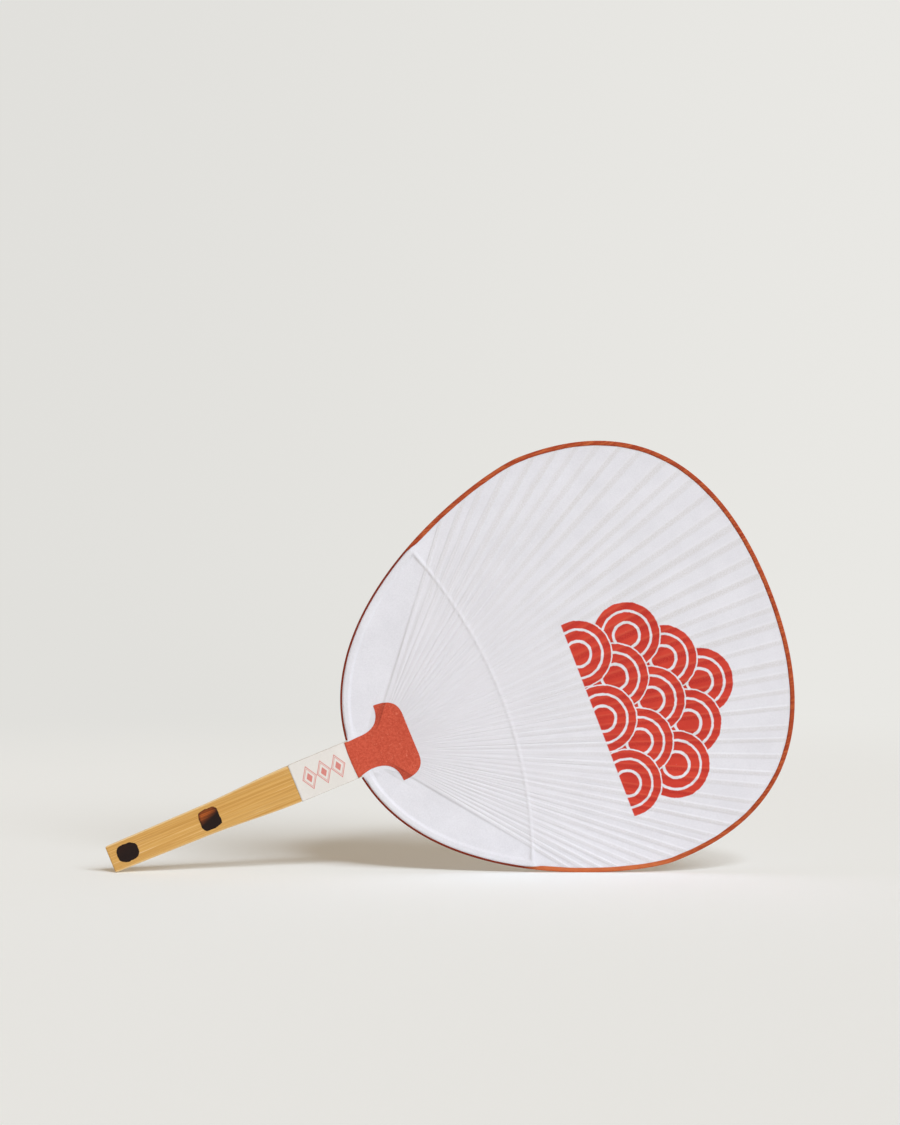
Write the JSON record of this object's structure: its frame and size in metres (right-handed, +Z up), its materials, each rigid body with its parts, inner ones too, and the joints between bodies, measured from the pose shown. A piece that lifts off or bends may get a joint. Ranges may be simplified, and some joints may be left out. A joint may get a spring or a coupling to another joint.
{
  "type": "hand fan",
  "caption": "Rigid bamboo hand fan: flat flared handle, split ribs woven on a thread, a bent bow through the neck, paper on both faces, a bound rim and red neck patches.",
  "frame": {"origin": "centre of the bounding box's footprint, at the level of the floor that the fan stands on edge on", "axes": "+X from the handle's butt towards the fan's far rim, +Y from the front through to the back, +Z up"},
  "size_m": [0.3582, 0.006, 0.2242],
  "materials": {
    "handle_bamboo": "sanded bamboo",
    "split_bamboo": "split bamboo",
    "face_paper": "fibrous matte paper",
    "patch_paper": "dyed matte paper",
    "binding_paper": "mottled paper strip",
    "band_paper": "thin pale paper",
    "cotton": "twisted thread"
  },
  "bodies": {
    "root": {"handle": "handle_bamboo", "label_band": "band_paper", "neck_patch_front": "patch_paper", "neck_patch_back": "patch_paper", "rib_01": "split_bamboo", "rib_02": "split_bamboo", "rib_03": "split_bamboo", "rib_04": "split_bamboo", "rib_05": "split_bamboo", "rib_06": "split_bamboo", "rib_07": "split_bamboo", "rib_08": "split_bamboo", "rib_09": "split_bamboo", "rib_10": "split_bamboo", "rib_11": "split_bamboo", "rib_12": "split_bamboo", "rib_13": "split_bamboo", "rib_14": "split_bamboo", "rib_15": "split_bamboo", "rib_16": "split_bamboo", "rib_17": "split_bamboo", "rib_18": "split_bamboo", "rib_19": "split_bamboo", "rib_20": "split_bamboo", "rib_21": "split_bamboo", "rib_22": "split_bamboo", "rib_23": "split_bamboo", "rib_24": "split_bamboo", "rib_25": "split_bamboo", "rib_26": "split_bamboo", "rib_27": "split_bamboo", "rib_28": "split_bamboo", "rib_29": "split_bamboo", "rib_30": "split_bamboo", "rib_31": "split_bamboo", "rib_32": "split_bamboo", "rib_33": "split_bamboo", "rib_34": "split_bamboo", "rib_35": "split_bamboo", "rib_36": "split_bamboo", "rib_37": "split_bamboo", "rib_38": "split_bamboo", "rib_39": "split_bamboo", "rib_40": "split_bamboo", "rib_41": "split_bamboo", "rib_42": "split_bamboo", "rib_43": "split_bamboo", "rib_44": "split_bamboo", "rib_45": "split_bamboo", "bow": "split_bamboo", "weaving_thread": "cotton", "paper_front": "face_paper", "paper_back": "face_paper", "edge_binding": "binding_paper"}
  },
  "joints": []
}
